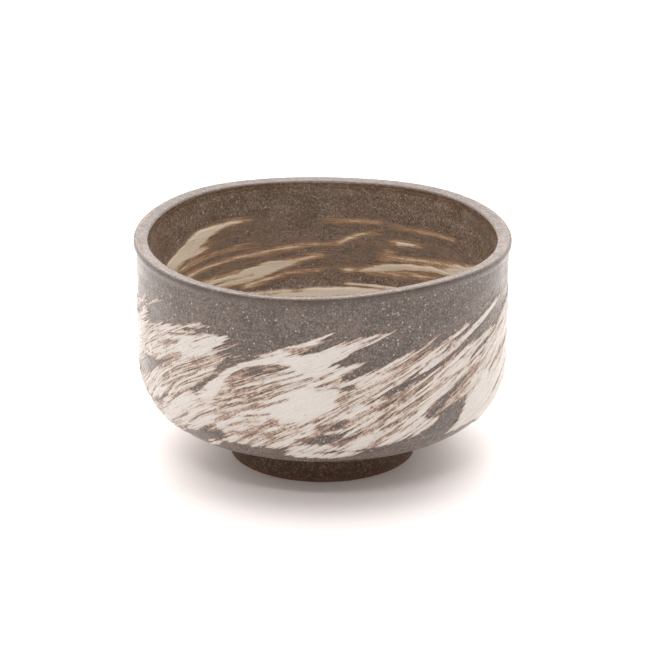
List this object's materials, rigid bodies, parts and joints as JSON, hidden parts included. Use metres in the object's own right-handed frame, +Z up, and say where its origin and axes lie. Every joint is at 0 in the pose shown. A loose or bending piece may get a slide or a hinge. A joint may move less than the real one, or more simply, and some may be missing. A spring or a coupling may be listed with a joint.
{
  "type": "matcha bowl",
  "caption": "Hand-thrown tea bowl with a rolled lip, a near-upright wall over a round waist, a turned ring foot and slanting strokes of brushed white slip inside and out.",
  "frame": {"origin": "centre of the foot's bearing face, which is the middle of the bottom of the whole bowl", "axes": "+Z up along the wheel's axis, out of the mouth; -Y is the face that shows in use, with the centre strokes of slip; +X to its right"},
  "size_m": [0.1197, 0.1198, 0.0748],
  "materials": {
    "glazed_clay": "warm grey gritty stoneware under a clear semi-gloss glaze",
    "bare_clay": "dark brown unglazed grainy stoneware",
    "white_slip": "cream white brushed slip under a clear semi-gloss glaze"
  },
  "bodies": {
    "root": {"bowl_body": "glazed_clay", "foot_ring": "bare_clay", "outer_slip_left_upper": "white_slip", "outer_slip_left_lower": "white_slip", "outer_slip_centre_upper": "white_slip", "outer_slip_centre_lower": "white_slip", "outer_slip_right_upper": "white_slip", "outer_slip_right_lower": "white_slip", "outer_slip_low_right": "white_slip", "outer_slip_back_right": "white_slip", "outer_slip_back_middle": "white_slip", "outer_slip_back_left": "white_slip", "outer_slip_far_left": "white_slip", "outer_slip_left_edge": "white_slip", "inner_slip_high_left": "white_slip", "inner_slip_left_arc": "white_slip", "inner_slip_left_band": "white_slip", "inner_slip_right_arc": "white_slip", "inner_slip_right_crescent": "white_slip", "inner_slip_near_upper": "white_slip", "inner_slip_near_lower": "white_slip", "inner_slip_floor_coat": "white_slip"}
  },
  "joints": []
}
